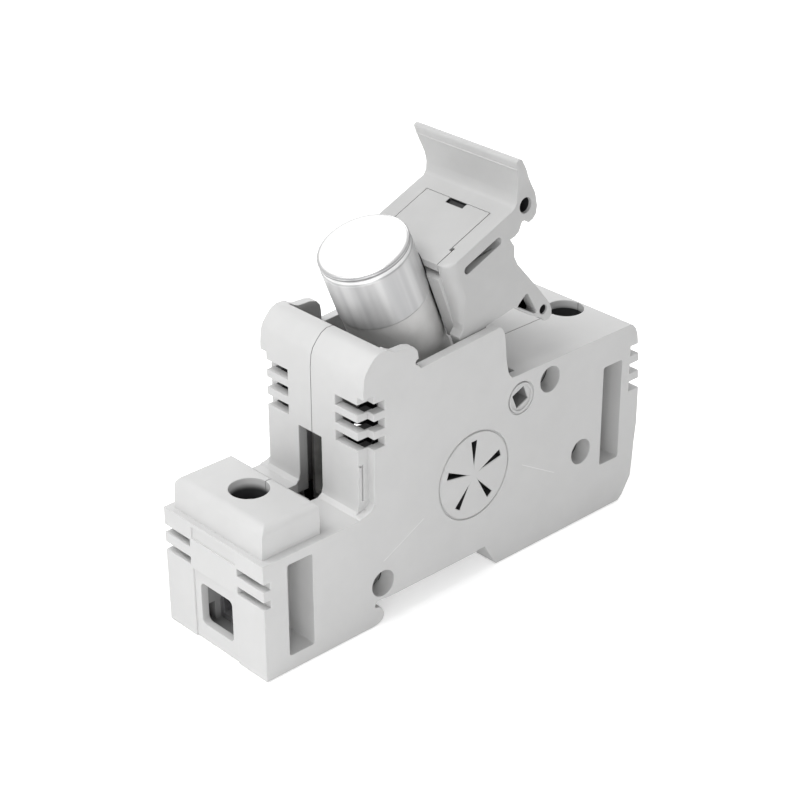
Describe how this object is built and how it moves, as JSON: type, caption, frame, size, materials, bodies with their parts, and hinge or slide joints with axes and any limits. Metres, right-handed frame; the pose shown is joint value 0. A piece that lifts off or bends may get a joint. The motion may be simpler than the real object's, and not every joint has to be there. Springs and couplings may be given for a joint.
{
  "type": "fuse base",
  "caption": "Rail-mounted fuse base with a hinged carrier that holds a cylindrical fuse link standing in its well, cage clamps at both ends and a sprung rail latch.",
  "frame": {"origin": "centre of the whole part's box on its rail side", "axes": "+Z away from the rail, +X from the low terminal to the raised terminal, Y along the rail with the shells meeting on y = 0"},
  "size_m": [0.124, 0.036, 0.1047],
  "materials": {
    "housing_grey": "fine matt moulding",
    "carrier_dark": "fine matt moulding",
    "ceramic": "semi-gloss ceramic",
    "silvered_cap": "silvered copper",
    "spring_steel": "bare spring steel",
    "contact_metal": "silvered copper, dull",
    "zinc_steel": "zinc plated",
    "rivet_metal": "rolled tube",
    "latch_plastic": "matt moulding"
  },
  "bodies": {
    "housing": {"housing_near": "housing_grey", "housing_far": "housing_grey", "shell_rivets": "rivet_metal", "contact_left": "contact_metal", "contact_right": "contact_metal", "jaw_spring_left": "spring_steel", "jaw_spring_right": "spring_steel", "latch_spring": "spring_steel"},
    "carrier": {"carrier": "carrier_dark", "carrier_panel": "carrier_dark", "pivot_bush_near": "carrier_dark", "pivot_bush_far": "carrier_dark", "link_spring": "spring_steel"},
    "fuse_link": {"fuse_tube": "ceramic", "fuse_cap_upper": "silvered_cap", "fuse_cap_lower": "silvered_cap"},
    "latch": {"din_latch": "latch_plastic"},
    "screw_low": {"terminal_screw_left": "zinc_steel"},
    "screw_high": {"terminal_screw_right": "zinc_steel"},
    "cage_low": {"terminal_cage_left": "zinc_steel"},
    "cage_high": {"terminal_cage_right": "zinc_steel"}
  },
  "joints": [
    {"name": "carrier_hinge", "type": "hinge", "parent": "housing", "child": "carrier", "pos_m": [0.0188, 0, 0.0437], "axis": [0, 1, 0], "range_deg": [-4.5, 22.4]},
    {"name": "link_slide", "type": "slide", "parent": "carrier", "child": "fuse_link", "axis": [-0.3843, 0, 0.9232], "range_m": [-0.0138, 0.062]},
    {"name": "latch_slide", "type": "slide", "parent": "housing", "child": "latch", "axis": [1, 0, 0], "range_m": [0, 0.0035], "stiffness_N_per_m": 800, "springref_m": -0.003, "deforming": ["latch_spring"]},
    {"name": "screw_turn_low", "type": "hinge", "parent": "housing", "child": "screw_low", "pos_m": [-0.0508, 0, 0.03], "axis": [0, 0, 1], "range_deg": [-2520, 0]},
    {"name": "cage_lift_low", "type": "slide", "parent": "housing", "child": "cage_low", "axis": [0, 0, 1], "range_m": [0, 0.007]},
    {"name": "screw_turn_high", "type": "hinge", "parent": "housing", "child": "screw_high", "pos_m": [0.053, 0, 0.0416], "axis": [0, 0, 1], "range_deg": [-2520, 0]},
    {"name": "cage_lift_high", "type": "slide", "parent": "housing", "child": "cage_high", "axis": [0, 0, 1], "range_m": [0, 0.007]}
  ],
  "couplings": [
    {"joint": "screw_turn_low", "follows": "cage_lift_low", "rad_per_m": -6283.2},
    {"joint": "screw_turn_high", "follows": "cage_lift_high", "rad_per_m": -6283.2}
  ]
}
